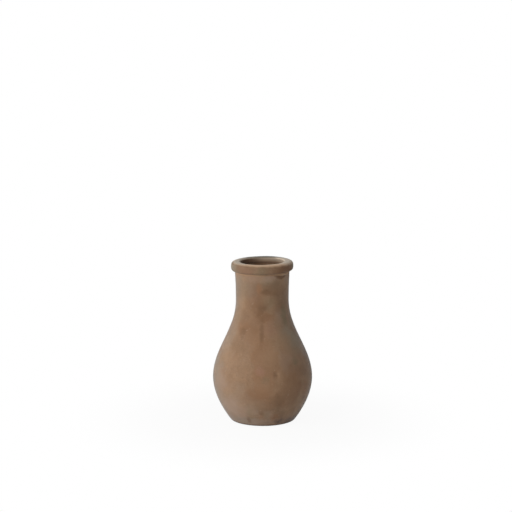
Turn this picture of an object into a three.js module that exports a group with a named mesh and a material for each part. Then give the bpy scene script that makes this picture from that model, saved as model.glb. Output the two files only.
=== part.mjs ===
import * as THREE from 'three';

// A hand-thrown terracotta bud vase. Sizes are in millimetres, +Z is up, and the origin is
// on the table, under the middle of the foot. The vessel stands on three felt dots. Its neck
// ends in a step, and a rolled coil of clay is luted over that step with slip and makes the
// rim. A thin waterproof coat lines the inside, because fired terracotta is porous.

// Felt dots under the foot
const DOT_COUNT = 3;
const DOT_RADIUS = 3;
const DOT_THICKNESS = 1.2;
const DOT_SET_BACK = 0.25; // from the recess to the dots

// Foot and floor of the clay vessel
const FOOT_RADIUS = 30; // where the wall would meet the foot's plane
const FOOT_EDGE_ROUND = 1.25;
const FOOT_RING_WIDTH = 10.5; // clay that stands on the dots, round the turned recess
const RECESS_DEPTH = 1.6;
const RECESS_LEAN = 1.5; // how far the recess's side leans in over its depth
const FLOOR_THICKNESS = 5; // over the recess
const FLOOR_ROUND = 7; // inside, where the floor turns up into the wall

// Wall of the clay vessel, from the foot up
const WALL = 5;
const BELLY_RADIUS = 46.8;
const BELLY_RISE = 40.8; // from the foot to the widest place
const BELLY_FULLNESS = 1.84; // exponent of the curve from the foot to the belly
const WAIST_RADIUS = 24.8; // the narrowest place, in the neck
const SHOULDER_RISE = 75.2; // from the belly to the waist
const SHOULDER_FULLNESS = 1.08; // exponent of the curve from the belly to the waist
const NECK_TOP_RADIUS = 25.6;
const NECK_RISE = 26.4; // from the waist to the neck's step
const COLLAR_SHARE = 0.45; // share of the wall, on the bore's side, that stands up inside the coil
const COLLAR_RISE = 3.4; // from the neck's step to the collar's top

// Luting slip between the neck's step and the coil
const SLIP_THICKNESS = 0.6;
const SLIP_CLEARANCE = 0.3; // round its sleeve, to the collar and to the coil
const SLIP_SET_BACK = 0.7; // from the mouth's wall
const SLIP_SQUEEZE = 0.6; // how far it stands out under the coil

// Rolled coil that makes the rim
const COIL_HEIGHT = 8.5; // from its seat to the crest of the lip
const COIL_BULGE = 3.6; // how far it stands out past the neck
const COIL_BULGE_HEIGHT = 3.9; // from its seat to its widest place
const COIL_CREST_WIDTH = 2.6; // from the mouth's wall to the crest of the lip
const LIP_DROP = 1.6; // from the crest down to where the mouth's wall runs straight
const TOP_SQUARENESS = 3.2; // exponent of its section above the widest place: 2 is an ellipse
const UNDER_SQUARENESS = 2.5; // the same below the widest place
const GROOVE_EASE = 0.3; // chamfers where the coil and the collar meet inside the mouth

// Waterproof coat inside
const COAT_THICKNESS = 0.6;
const COAT_CLEARANCE = 0.3; // to the clay's wall
const COAT_TOP_DROP = 5; // from the neck's step down to the coat's edge

// Facets
const TURN_STEPS = 56;
const DOT_SIDES = 32;
const BELLY_STEPS = 8;
const SHOULDER_STEPS = 14;
const NECK_STEPS = 3;
const INSIDE_COARSENESS = 0.6; // steps inside, as a share of those outside
const ROUND_STEPS = 3;
const COIL_STEPS = 6;
const LEAST_STEP = 0.5; // points of an outline closer to its ends than this are left out

const waistHeight = BELLY_RISE + SHOULDER_RISE;
const neckTopHeight = waistHeight + NECK_RISE;
const floorHeight = RECESS_DEPTH + FLOOR_THICKNESS;
const ringOuterRadius = FOOT_RADIUS - FOOT_EDGE_ROUND;
const ringInnerRadius = FOOT_RADIUS - FOOT_RING_WIDTH;
const mouthRadius = NECK_TOP_RADIUS - WALL;
const collarRadius = mouthRadius + COLLAR_SHARE * WALL;
const sleeveInnerRadius = collarRadius + SLIP_CLEARANCE;
const sleeveOuterRadius = sleeveInnerRadius + SLIP_THICKNESS;
const counterboreRadius = sleeveOuterRadius + SLIP_CLEARANCE;

function finish( color, roughness ) {

	return new THREE.MeshStandardMaterial( { color, roughness, metalness: 0 } );

}

function point( radius, height ) {

	return new THREE.Vector2( radius, height );

}

// The vessel's outer radius at a height above its foot.
function outerRadius( height ) {

	if ( height < BELLY_RISE ) {

		const below = 1 - height / BELLY_RISE;
		return BELLY_RADIUS - ( BELLY_RADIUS - FOOT_RADIUS ) * below ** BELLY_FULLNESS;

	}

	if ( height < waistHeight ) {

		const up = ( height - BELLY_RISE ) / SHOULDER_RISE;
		const swell = ( ( 1 + Math.cos( Math.PI * up ) ) / 2 ) ** SHOULDER_FULLNESS;
		return WAIST_RADIUS + ( BELLY_RADIUS - WAIST_RADIUS ) * swell;

	}

	const above = ( height - waistHeight ) / NECK_RISE;
	return WAIST_RADIUS + ( NECK_TOP_RADIUS - WAIST_RADIUS ) * above ** 2;

}

// How fast the outer radius grows with height.
function outerSlope( height ) {

	const low = Math.max( height - LEAST_STEP / 2, 0 );
	const high = low + LEAST_STEP;
	return ( outerRadius( high ) - outerRadius( low ) ) / LEAST_STEP;

}

// The wall's outline from the foot up, moved inwards along its normal.
function wallLine( inset, coarseness = 1 ) {

	const stretches = [
		{ from: 0, rise: BELLY_RISE, steps: BELLY_STEPS },
		{ from: BELLY_RISE, rise: SHOULDER_RISE, steps: SHOULDER_STEPS },
		{ from: waistHeight, rise: NECK_RISE, steps: NECK_STEPS }
	];
	const heights = [];

	for ( const { from, rise, steps } of stretches ) {

		const count = Math.ceil( steps * coarseness );
		for ( let i = 0; i < count; i ++ ) heights.push( from + rise * i / count );

	}

	heights.push( neckTopHeight );

	return heights.map( ( height ) => {

		const slope = outerSlope( height );
		const length = Math.hypot( 1, slope );
		return point( outerRadius( height ) - inset / length, height + inset * slope / length );

	} );

}

// The radius of an outline at a height, carried on in a straight line past its ends.
function radiusAt( line, height ) {

	let i = 1;
	while ( i < line.length - 1 && line[ i ].y < height ) i ++;
	const share = ( height - line[ i - 1 ].y ) / ( line[ i ].y - line[ i - 1 ].y );
	return line[ i - 1 ].x + ( line[ i ].x - line[ i - 1 ].x ) * share;

}

// Points round a corner, from one side of it to the other.
function roundedCorner( start, corner, end ) {

	return new THREE.QuadraticBezierCurve( start, corner, end ).getPoints( ROUND_STEPS );

}

// A quarter of a superellipse, from its side to its crest.
function quarterRound( centre, halfWidth, halfHeight, squareness ) {

	const points = [];

	for ( let i = 0; i <= COIL_STEPS; i ++ ) {

		const angle = Math.PI / 2 * i / COIL_STEPS;
		const across = Math.cos( angle ) ** ( 2 / squareness );
		const up = Math.sin( angle ) ** ( 2 / squareness );
		points.push( point( centre.x + halfWidth * across, centre.y + halfHeight * up ) );

	}

	return points;

}

// The hollow that follows the wall at a distance, from its open end down to the axis.
function hollowLine( inset, topHeight, bottomHeight ) {

	const side = wallLine( inset, INSIDE_COARSENESS );
	const turnHeight = bottomHeight + FLOOR_ROUND;
	const wall = side.filter( ( p ) => p.y > turnHeight + LEAST_STEP && p.y < topHeight - LEAST_STEP );
	const corner = point( radiusAt( side, bottomHeight ), bottomHeight );
	const bottomRound = roundedCorner(
		point( radiusAt( side, turnHeight ), turnHeight ),
		corner,
		point( corner.x - FLOOR_ROUND, bottomHeight )
	);
	return [ point( radiusAt( side, topHeight ), topHeight ), ...wall.reverse(), ...bottomRound, point( 0, bottomHeight ) ];

}

// A body turned round the Z axis from an outline of radius and height.
function turned( name, outline, material ) {

	const geometry = new THREE.LatheGeometry( outline, TURN_STEPS );
	geometry.rotateX( Math.PI / 2 );
	const mesh = new THREE.Mesh( geometry, material );
	mesh.name = name;
	return mesh;

}

// The thrown wall and floor, with a turned recess under the foot and a step at the neck's end.
function clayVessel() {

	const recess = [
		point( 0, RECESS_DEPTH ),
		point( ringInnerRadius - RECESS_LEAN, RECESS_DEPTH ),
		point( ringInnerRadius, 0 )
	];
	const footEdge = roundedCorner(
		point( ringOuterRadius, 0 ),
		point( FOOT_RADIUS, 0 ),
		point( outerRadius( FOOT_EDGE_ROUND ), FOOT_EDGE_ROUND )
	);
	const outside = wallLine( 0 ).filter( ( p ) => p.y > FOOT_EDGE_ROUND + LEAST_STEP );
	const collarTop = neckTopHeight + COLLAR_RISE;
	const step = [
		point( collarRadius, neckTopHeight ),
		point( collarRadius, collarTop ),
		point( mouthRadius + GROOVE_EASE, collarTop ),
		point( mouthRadius, collarTop - GROOVE_EASE )
	];
	const hollow = hollowLine( WALL, neckTopHeight, floorHeight );
	return turned( 'clay_vessel', [ ...recess, ...footEdge, ...outside, ...step, ...hollow ], finish( 0x8f745c, 0.85 ) );

}

// A ring with a flange on the neck's step, a sleeve up the collar and a flange on its top.
function lutingSlip() {

	const edge = SLIP_THICKNESS / 2;
	const lipRadius = NECK_TOP_RADIUS + SLIP_SQUEEZE;
	const top = COLLAR_RISE + SLIP_THICKNESS;
	const outline = [
		point( sleeveInnerRadius, 0 ),
		point( lipRadius - edge, 0 ),
		point( lipRadius, edge ),
		point( lipRadius - edge, SLIP_THICKNESS ),
		point( sleeveOuterRadius, SLIP_THICKNESS ),
		point( sleeveOuterRadius, top ),
		point( mouthRadius + SLIP_SET_BACK, top ),
		point( mouthRadius + SLIP_SET_BACK, COLLAR_RISE ),
		point( sleeveInnerRadius, COLLAR_RISE ),
		point( sleeveInnerRadius, 0 )
	];
	const ring = turned( 'luting_slip', outline, finish( 0x7e6752, 0.9 ) );
	ring.position.z = neckTopHeight;
	return ring;

}

// The rim, which hangs over the neck's step with a counterbore round the collar.
function rimCoil() {

	const widest = point( NECK_TOP_RADIUS, COIL_BULGE_HEIGHT );
	const crestRadius = mouthRadius + COIL_CREST_WIDTH;
	const under = quarterRound( widest, COIL_BULGE, - COIL_BULGE_HEIGHT, UNDER_SQUARENESS ).reverse();
	const over = quarterRound(
		point( crestRadius, COIL_BULGE_HEIGHT ),
		NECK_TOP_RADIUS + COIL_BULGE - crestRadius,
		COIL_HEIGHT - COIL_BULGE_HEIGHT,
		TOP_SQUARENESS
	);
	const lip = quarterRound(
		point( crestRadius, COIL_HEIGHT - LIP_DROP ),
		- COIL_CREST_WIDTH,
		LIP_DROP,
		TOP_SQUARENESS
	).reverse();
	const bore = [
		point( mouthRadius, COLLAR_RISE + GROOVE_EASE ),
		point( mouthRadius + GROOVE_EASE, COLLAR_RISE ),
		point( counterboreRadius, COLLAR_RISE ),
		point( counterboreRadius, 0 ),
		under[ 0 ]
	];
	const outline = [ ...under, ...over.slice( 1 ), ...lip.slice( 1 ), ...bore ];
	const coil = turned( 'rim_coil', outline, finish( 0x94785f, 0.82 ) );
	coil.position.z = neckTopHeight + SLIP_THICKNESS;
	return coil;

}

// A thin cup that follows the clay's wall and lies flat on its floor.
function waterproofCoat() {

	const top = neckTopHeight - COAT_TOP_DROP;
	const inset = WALL + COAT_CLEARANCE;
	const outer = hollowLine( inset, top, floorHeight );
	const inner = hollowLine( inset + COAT_THICKNESS, top, floorHeight + COAT_THICKNESS );
	return turned( 'waterproof_coat', [ ...outer.reverse(), ...inner ], finish( 0x75614e, 0.4 ) );

}

function feltDot( number ) {

	const geometry = new THREE.CylinderGeometry( DOT_RADIUS, DOT_RADIUS, DOT_THICKNESS, DOT_SIDES );
	geometry.rotateX( Math.PI / 2 );
	const dot = new THREE.Mesh( geometry, finish( 0x4a4038, 1 ) );
	const angle = 2 * Math.PI * number / DOT_COUNT + Math.PI / 2;
	const circle = ringInnerRadius + DOT_SET_BACK + DOT_RADIUS;
	dot.name = `felt_dot_${ number }`;
	dot.position.set( circle * Math.cos( angle ), circle * Math.sin( angle ), DOT_THICKNESS / 2 );
	return dot;

}

const vase = new THREE.Group();

for ( let number = 1; number <= DOT_COUNT; number ++ ) vase.add( feltDot( number ) );

const pot = new THREE.Group();
pot.position.z = DOT_THICKNESS;
pot.add( clayVessel(), lutingSlip(), rimCoil(), waterproofCoat() );
vase.add( pot );

export default vase;
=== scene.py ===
"""Dresses the bud vase: thrown terracotta, a rolled rim, slip, a waterproof coat and felt dots."""
import math

import bpy
from bpy.props import FloatProperty, FloatVectorProperty, IntProperty, PointerProperty
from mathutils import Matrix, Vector


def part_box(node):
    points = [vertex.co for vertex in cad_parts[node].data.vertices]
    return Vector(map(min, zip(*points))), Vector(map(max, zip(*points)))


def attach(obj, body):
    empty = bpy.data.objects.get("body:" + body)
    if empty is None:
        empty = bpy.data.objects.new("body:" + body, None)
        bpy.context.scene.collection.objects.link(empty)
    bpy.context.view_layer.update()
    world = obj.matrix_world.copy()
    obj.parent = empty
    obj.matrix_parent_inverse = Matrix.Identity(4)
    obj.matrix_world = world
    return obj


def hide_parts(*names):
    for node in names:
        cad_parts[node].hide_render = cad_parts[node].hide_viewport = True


bl_info = {
    "name": "Bud Vase",
    "version": (1, 0, 0),
    "blender": (4, 5, 0),
    "location": "View3D > Sidebar > Vase",
    "description": "Builds a hand-thrown terracotta bud vase round its packed solids",
    "category": "Object",
}

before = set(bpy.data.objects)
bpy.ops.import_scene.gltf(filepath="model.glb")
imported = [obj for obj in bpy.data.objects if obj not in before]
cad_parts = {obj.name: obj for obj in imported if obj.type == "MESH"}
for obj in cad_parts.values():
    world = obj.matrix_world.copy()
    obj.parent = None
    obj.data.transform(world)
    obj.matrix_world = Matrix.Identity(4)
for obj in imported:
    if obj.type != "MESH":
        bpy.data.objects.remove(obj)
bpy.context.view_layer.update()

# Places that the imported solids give
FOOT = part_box("clay_vessel")[0].z
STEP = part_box("luting_slip")[0].z
SLIP_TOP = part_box("luting_slip")[1].z
COLLAR_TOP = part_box("clay_vessel")[1].z
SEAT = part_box("rim_coil")[0].z
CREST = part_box("rim_coil")[1].z
COAT_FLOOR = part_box("waterproof_coat")[0].z
COAT_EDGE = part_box("waterproof_coat")[1].z
BELLY_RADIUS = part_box("clay_vessel")[1].x
COIL_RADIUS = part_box("rim_coil")[1].x
BODY = "root"

# One millimetre, and the fineness of the modelling, in metres
MM = 0.001
RECESS_ROUNDING = 0.0005
COIL_SPACING = 0.0006
SKIRT_SPACING = 0.0002


# Settings that a user would change

class ShapeSettings(bpy.types.PropertyGroup):
    """Sizes of the turned clay. Heights are measured from the foot's plane."""

    foot_radius: FloatProperty(
        name="Foot radius", description="Where the wall would meet the foot's plane",
        default=0.030, unit="LENGTH")
    foot_edge: FloatProperty(
        name="Foot edge", description="Rounding of the foot's outer edge",
        default=0.00125, unit="LENGTH")
    ring_width: FloatProperty(
        name="Foot ring", description="Width of the clay round the turned recess",
        default=0.0105, unit="LENGTH")
    recess_depth: FloatProperty(
        name="Recess depth", description="Depth of the recess under the foot",
        default=0.0016, unit="LENGTH")
    recess_lean: FloatProperty(
        name="Recess lean", description="How far the recess's side leans in",
        default=0.0015, unit="LENGTH")
    belly_rise: FloatProperty(
        name="Belly rise", description="From the foot to the widest place",
        default=0.0408, unit="LENGTH")
    belly_fullness: FloatProperty(
        name="Belly fullness", description="Exponent of the curve from the foot to the belly",
        default=1.84)
    waist_radius: FloatProperty(
        name="Waist radius", description="The narrowest place, in the neck",
        default=0.0248, unit="LENGTH")
    shoulder_rise: FloatProperty(
        name="Shoulder rise", description="From the belly to the waist",
        default=0.0752, unit="LENGTH")
    shoulder_fullness: FloatProperty(
        name="Shoulder fullness", description="Exponent of the curve from the belly to the waist",
        default=1.08)
    neck_radius: FloatProperty(
        name="Neck radius", description="Outer radius at the neck's step",
        default=0.0256, unit="LENGTH")
    wall: FloatProperty(
        name="Wall", description="Thickness of the thrown wall", default=0.005, unit="LENGTH")
    collar_share: FloatProperty(
        name="Collar share", description="Share of the wall that stands up inside the rim",
        default=0.45, subtype="FACTOR")
    floor_round: FloatProperty(
        name="Floor rounding", description="Inside, where the floor turns up",
        default=0.007, unit="LENGTH")


class RimSettings(bpy.types.PropertyGroup):
    """Sizes of the rolled coil and of the slip that bonds it."""

    bulge_height: FloatProperty(
        name="Bulge height", description="From the coil's seat to its widest place",
        default=0.0039, unit="LENGTH")
    crest_width: FloatProperty(
        name="Crest width", description="From the mouth's wall to the crest of the lip",
        default=0.0026, unit="LENGTH")
    lip_drop: FloatProperty(
        name="Lip drop", description="From the crest down to the straight bore",
        default=0.0016, unit="LENGTH")
    top_squareness: FloatProperty(
        name="Top squareness", description="Exponent of the coil's upper section, 2 for an ellipse",
        default=3.2)
    under_squareness: FloatProperty(
        name="Under squareness", description="Exponent of the coil's lower section", default=2.5)
    groove_ease: FloatProperty(
        name="Groove easing", description="Rounding where the coil and the collar meet",
        default=0.0004, unit="LENGTH")
    slip_set_back: FloatProperty(
        name="Slip set-back", description="From the mouth's wall to the slip",
        default=0.0007, unit="LENGTH")
    slip_clearance: FloatProperty(
        name="Slip clearance", description="Round the slip's sleeve", default=0.0003, unit="LENGTH")
    slip_thickness: FloatProperty(
        name="Slip thickness", description="Thickness of the slip", default=0.0006, unit="LENGTH")
    slip_sink: FloatProperty(
        name="Slip sink", description="How far the wiped edge lies inside the neck's face",
        default=0.0003, unit="LENGTH")
    fillet_drop: FloatProperty(
        name="Fillet drop", description="How far the slip is wiped down the neck",
        default=0.0009, unit="LENGTH")
    fillet_reach: FloatProperty(
        name="Fillet reach", description="How far the slip is wiped out under the coil",
        default=0.0022, unit="LENGTH")
    ridge_place: FloatProperty(
        name="Ridge place", description="Degrees right of the front of the unwiped ridge of slip",
        default=53.0)
    ridge_height: FloatProperty(
        name="Ridge height", description="How far the ridge stands out of the neck",
        default=0.0014, unit="LENGTH")
    ridge_drop: FloatProperty(
        name="Ridge drop", description="How far the ridge reaches down the neck",
        default=0.0011, unit="LENGTH")
    ridge_roll: FloatProperty(
        name="Ridge roll", description="How far the ridge runs down to the right",
        default=0.07, subtype="ANGLE")
    crown: FloatProperty(
        name="Crown", description="Rise of the lip over the packed coil",
        default=0.00045, unit="LENGTH")
    tilt: FloatVectorProperty(
        name="Tilt", description="Rise to the right and to the back for each metre", size=2,
        default=(0.015, -0.018))


class ThrowingSettings(bpy.types.PropertyGroup):
    """Marks that the potter's hands leave."""

    ring_spacing: FloatProperty(
        name="Ring spacing", description="Rise of one finger ring", default=0.0062, unit="LENGTH")
    ring_depth: FloatProperty(
        name="Ring depth", description="Half the depth of a finger ring outside",
        default=0.00004, unit="LENGTH")
    swelling_size: FloatProperty(
        name="Swelling size", description="Size of the soft swellings",
        default=0.026, unit="LENGTH")
    swelling_height: FloatProperty(
        name="Swelling height", description="Height of the soft swellings",
        default=0.00035, unit="LENGTH")
    hand_mark_size: FloatProperty(
        name="Hand mark size", description="Size of the small dents", default=0.007, unit="LENGTH")
    hand_mark_height: FloatProperty(
        name="Hand mark height", description="Height of the small dents",
        default=0.00012, unit="LENGTH")
    dimple_place: FloatProperty(
        name="Dimple place", description="Degrees right of the front of the dent in the belly",
        default=17.0)
    dimple_rise: FloatProperty(
        name="Dimple rise", description="From the foot to the dent's middle",
        default=0.0525, unit="LENGTH")
    dimple_depth: FloatProperty(
        name="Dimple depth", description="Depth of the dent", default=0.0005, unit="LENGTH")
    lean: FloatProperty(
        name="Lean", description="Sideways drift to the left for each metre of height",
        default=0.004)
    turns: IntProperty(name="Turn steps", description="Facets round the clay", default=240, min=16)
    spacing: FloatProperty(
        name="Outline spacing", description="Spacing of the outline's points",
        default=0.0012, unit="LENGTH")


class CoatSettings(bpy.types.PropertyGroup):
    """The waterproof coat inside."""

    thickness: FloatProperty(
        name="Coat", description="Thickness of the coat", default=0.0006, unit="LENGTH")
    clearance: FloatProperty(
        name="Clearance", description="From the coat to the clay", default=0.0003, unit="LENGTH")
    colour: FloatVectorProperty(
        name="Colour", description="Colour of the coat",
        subtype="COLOR", default=(0.13, 0.085, 0.055))


class FeltSettings(bpy.types.PropertyGroup):
    """The felt dots under the foot."""

    edge: FloatProperty(
        name="Edge", description="Rounding of a dot's edges", default=0.00015, unit="LENGTH")
    fibres: IntProperty(
        name="Fibres", description="Loose fibres on each dot's side", default=260, min=0)
    fibre_length: FloatProperty(
        name="Fibre length", description="Length of a fibre", default=0.0006, unit="LENGTH")
    fibre_radius: FloatProperty(
        name="Fibre radius", description="Radius of a fibre", default=0.00003, unit="LENGTH")
    colour: FloatVectorProperty(
        name="Colour", description="Colour of the felt",
        subtype="COLOR", default=(0.07, 0.055, 0.045))


class ClaySettings(bpy.types.PropertyGroup):
    """Colours and finish of the fired clay."""

    base: FloatVectorProperty(
        name="Clay", description="Main colour of the fired clay",
        subtype="COLOR", default=(0.300, 0.182, 0.106))
    # Tan is also laid bright on the rim's top in front as a painted highlight
    tan: FloatVectorProperty(
        name="Tan", description="Lighter, warmer patches",
        subtype="COLOR", default=(0.375, 0.236, 0.138))
    # Umber is also painted shade inside the mouth, in the gap below the ridge of slip, in the crease and in
    # the dent
    umber: FloatVectorProperty(
        name="Umber", description="Darker patches",
        subtype="COLOR", default=(0.180, 0.098, 0.050))
    red: FloatVectorProperty(
        name="Red", description="Reddish flashes from the kiln",
        subtype="COLOR", default=(0.272, 0.140, 0.070))
    rose: FloatVectorProperty(
        name="Rose", description="Light pink flashes from the kiln",
        subtype="COLOR", default=(0.335, 0.182, 0.120))
    olive: FloatVectorProperty(
        name="Olive", description="Grey-green bloom",
        subtype="COLOR", default=(0.205, 0.156, 0.088))
    # Slate is also painted shade on the rim's far edge on top and at the rim's right end, and partly painted
    # reflection at its left end
    slate: FloatVectorProperty(
        name="Slate", description="Grey bloom where the fire was smoky",
        subtype="COLOR", default=(0.295, 0.245, 0.176))
    # Ash is also partly painted reflection at the vessel's left edge, and partly painted light on the rim's
    # inner wall
    ash: FloatVectorProperty(
        name="Ash", description="Light grey bloom where ash lay",
        subtype="COLOR", default=(0.280, 0.238, 0.190))
    # Haze is also partly painted reflection low on the left, and painted light just below the rim
    haze: FloatVectorProperty(
        name="Haze", description="Pinkish grey bloom",
        subtype="COLOR", default=(0.355, 0.248, 0.182))
    # Also a painted highlight: laid pale on the ridge of slip
    dust_and_highlight: FloatVectorProperty(
        name="Dust", description="Pale bloom on what faces up",
        subtype="COLOR", default=(0.62, 0.52, 0.41))
    # Also painted shade: laid in the groove inside the mouth, on the inner wall's left side and on the lip
    # at the far left
    soot: FloatVectorProperty(
        name="Soot", description="Grime at the foot and inside the mouth",
        subtype="COLOR", default=(0.110, 0.068, 0.048))
    roughness: FloatProperty(
        name="Roughness", description="Roughness of the clay", default=0.82, subtype="FACTOR")


class StageSettings(bpy.types.PropertyGroup):
    """The camera and the light."""

    field_of_view: FloatProperty(
        name="Field of view", description="Angle of the square picture",
        default=math.radians(12), subtype="ANGLE")
    distance: FloatProperty(
        name="Distance", description="From the camera back to the vase's axis",
        default=2.23586, unit="LENGTH")
    height: FloatProperty(
        name="Height", description="Camera above the foot's plane", default=0.59337, unit="LENGTH")
    tilt: FloatProperty(
        name="Tilt", description="How far the camera looks down", default=0.19297, subtype="ANGLE")
    side: FloatProperty(
        name="Side", description="How far the camera stands to the left",
        default=0.0064, unit="LENGTH")
    key: FloatProperty(name="Key light", description="Power of the softbox", default=18.0)
    edge: FloatProperty(name="Edge light", description="Power of the softbox behind", default=5.0)
    fill: FloatProperty(name="Fill", description="Strength of the surrounding light", default=0.29)
    shadow: FloatProperty(
        name="Shadow", description="How much of the floor's shadow the picture keeps",
        default=0.065, subtype="FACTOR")


class VaseSettings(bpy.types.PropertyGroup):
    """All the vase's settings."""

    shape: PointerProperty(type=ShapeSettings)
    rim: PointerProperty(type=RimSettings)
    throwing: PointerProperty(type=ThrowingSettings)
    coat: PointerProperty(type=CoatSettings)
    felt: PointerProperty(type=FeltSettings)
    clay: PointerProperty(type=ClaySettings)
    stage: PointerProperty(type=StageSettings)


# Node trees

class Wiring:
    """Adds nodes to a node tree and links whatever they are given."""

    def __init__(self, tree):
        self.tree = tree
        self.column_width = 200

    def add(self, kind, inputs=None, **settings):
        node = self.tree.nodes.new(kind)
        node.location.x = self.column_width * len(self.tree.nodes)
        for name, value in settings.items():
            setattr(node, name, value)
        for key, value in (inputs or {}).items():
            self.feed(node.inputs[key], value)
        return node

    def feed(self, socket, value):
        if isinstance(value, bpy.types.NodeSocket):
            self.tree.links.new(value, socket)
        else:
            socket.default_value = value

    def maths(self, operation, first, second=0.0, third=0.0, clamp=False):
        node = self.add("ShaderNodeMath", {0: first, 1: second}, operation=operation, use_clamp=clamp)
        if operation in ("MULTIPLY_ADD", "COMPARE"):
            self.feed(node.inputs[2], third)
        return node.outputs[0]

    def plus(self, first, second):
        return self.maths("ADD", first, second)

    def times(self, first, second):
        return self.maths("MULTIPLY", first, second)

    def vector(self, operation, first, second=(0, 0, 0), scale=1.0):
        node = self.add("ShaderNodeVectorMath", {0: first}, operation=operation)
        if operation == "SCALE":
            self.feed(node.inputs["Scale"], scale)
        elif operation not in ("LENGTH", "NORMALIZE"):
            self.feed(node.inputs[1], second)
        return node.outputs["Value" if operation == "LENGTH" else "Vector"]

    def split(self, vector):
        return self.add("ShaderNodeSeparateXYZ", {0: vector}).outputs

    def join(self, x=0.0, y=0.0, z=0.0):
        return self.add("ShaderNodeCombineXYZ", {"X": x, "Y": y, "Z": z}).outputs[0]

    def smooth(self, value, low, high, to_low=0.0, to_high=1.0):
        """Goes smoothly from to_low at low to to_high at high."""
        node = self.add("ShaderNodeMapRange", {
            "Value": value, "From Min": low, "From Max": high, "To Min": to_low, "To Max": to_high},
            interpolation_type="SMOOTHSTEP")
        return node.outputs["Result"]

    def noise(self, place, size, detail=2.0, roughness=0.5, offset=0.0, output="Fac"):
        """Soft noise whose blotches are about size across, in metres. offset gives another pattern."""
        moved = self.vector("ADD", place, (offset, offset * 0.7, offset * 1.3))
        node = self.add("ShaderNodeTexNoise", {
            "Vector": moved, "Scale": 1 / size, "Detail": detail, "Roughness": roughness})
        return node.outputs[output]

    def mix(self, share, first, second):
        """A colour between the first one and the second."""
        node = self.add("ShaderNodeMix", {0: share, 6: first, 7: second}, data_type="RGBA")
        return node.outputs[2]

    def surface(self, height, strength, distance, inputs):
        """Ends a material in a surface with relief and the given inputs of its shader."""
        bump = self.add("ShaderNodeBump", {"Height": height, "Strength": strength, "Distance": distance})
        shader = self.add("ShaderNodeBsdfPrincipled", {"Normal": bump.outputs[0], **inputs})
        self.add("ShaderNodeOutputMaterial", {"Surface": shader.outputs[0]})


def colour(value, brightness=1.0):
    """A colour of three numbers as one of four, made brighter or darker."""
    return (*(brightness * channel for channel in value[:3]), 1.0)


def emptied(block):
    """The material or world that is given, with an empty node tree."""
    block.use_nodes = True
    block.node_tree.nodes.clear()
    return block


def added(name, data):
    """A new object in the scene that shows the data."""
    item = bpy.data.objects.new(name, data)
    bpy.context.scene.collection.objects.link(item)
    return item


# Outlines: lists of (radius, height, freedom), where freedom is how far the clay may wander there

def outer_radius(shape, height):
    """The vessel's outer radius at a height above its foot."""
    if height < shape.belly_rise:
        below = 1 - height / shape.belly_rise
        return BELLY_RADIUS - (BELLY_RADIUS - shape.foot_radius) * below ** shape.belly_fullness
    waist = shape.belly_rise + shape.shoulder_rise
    if height < waist:
        up = (height - shape.belly_rise) / shape.shoulder_rise
        swell = ((1 + math.cos(math.pi * up)) / 2) ** shape.shoulder_fullness
        return shape.waist_radius + (BELLY_RADIUS - shape.waist_radius) * swell
    above = (height - waist) / (STEP - FOOT - waist)
    return shape.waist_radius + (shape.neck_radius - shape.waist_radius) * min(above, 1) ** 2


def wall_line(shape, inset, spacing):
    """The wall from the foot up to the neck's step, moved inwards along its normal."""
    line = []
    top = STEP - FOOT
    count = round(top / spacing)
    for i in range(count + 1):
        height = top * i / count
        low = max(height - spacing / 2, 0)
        slope = (outer_radius(shape, low + spacing) - outer_radius(shape, low)) / spacing
        length = math.hypot(1, slope)
        line.append((outer_radius(shape, height) - inset / length, height + inset * slope / length))
    return line


def radius_at(line, height):
    """The radius of a line of (radius, height) at a height, carried on straight past its ends."""
    i = 1
    while i < len(line) - 1 and line[i][1] < height:
        i += 1
    (r0, z0), (r1, z1) = line[i - 1], line[i]
    return r0 + (r1 - r0) * (height - z0) / (z1 - z0)


def bend(start, corner, end, steps=8):
    """Points round a corner, from one side of it to the other."""
    points = []
    for i in range(steps + 1):
        t = i / steps
        weights = ((1 - t) ** 2, 2 * t * (1 - t), t ** 2)
        points.append(tuple(sum(w * p[k] for w, p in zip(weights, (start, corner, end))) for k in (0, 1)))
    return points


def soften(corners, rounding, steps=5):
    """A line through corners, with each corner between two others rounded."""
    points = [corners[0]]
    for before, corner, after in zip(corners, corners[1:], corners[2:]):
        here = Vector(corner)
        sides = []
        for other in (before, after):
            away = Vector(other) - here
            sides.append(tuple(here + away.normalized() * min(rounding, away.length * 0.45)))
        points += bend(sides[0], corner, sides[1], steps)
    return [*points, corners[-1]]


def fill(points, spacing):
    """The same line with points added, so that none are further apart than spacing."""
    filled = [points[0]]
    for start, end in zip(points, points[1:]):
        count = max(1, math.ceil(math.dist(start, end) / spacing))
        for i in range(1, count + 1):
            filled.append(tuple(a + (b - a) * i / count for a, b in zip(start, end)))
    return filled


def quarter_round(centre, half_width, half_height, squareness, steps=16):
    """A quarter of a superellipse, from its side to its crest."""
    points = []
    for i in range(steps + 1):
        angle = math.pi / 2 * i / steps
        across = max(math.cos(angle), 0) ** (2 / squareness)
        up = math.sin(angle) ** (2 / squareness)
        points.append((centre[0] + half_width * across, centre[1] + half_height * up))
    return points


def freed(points, freedom):
    return [(radius, height, freedom) for radius, height in points]


def ease(outline, reach=6):
    """Lets the freedom change gradually along an outline, but keeps it nothing where it is nothing."""
    eased = []
    for i, (radius, height, freedom) in enumerate(outline):
        near = [p[2] for p in outline[max(0, i - reach):i + reach + 1]]
        eased.append((radius, height, min(freedom, sum(near) / len(near))))
    return eased


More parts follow.
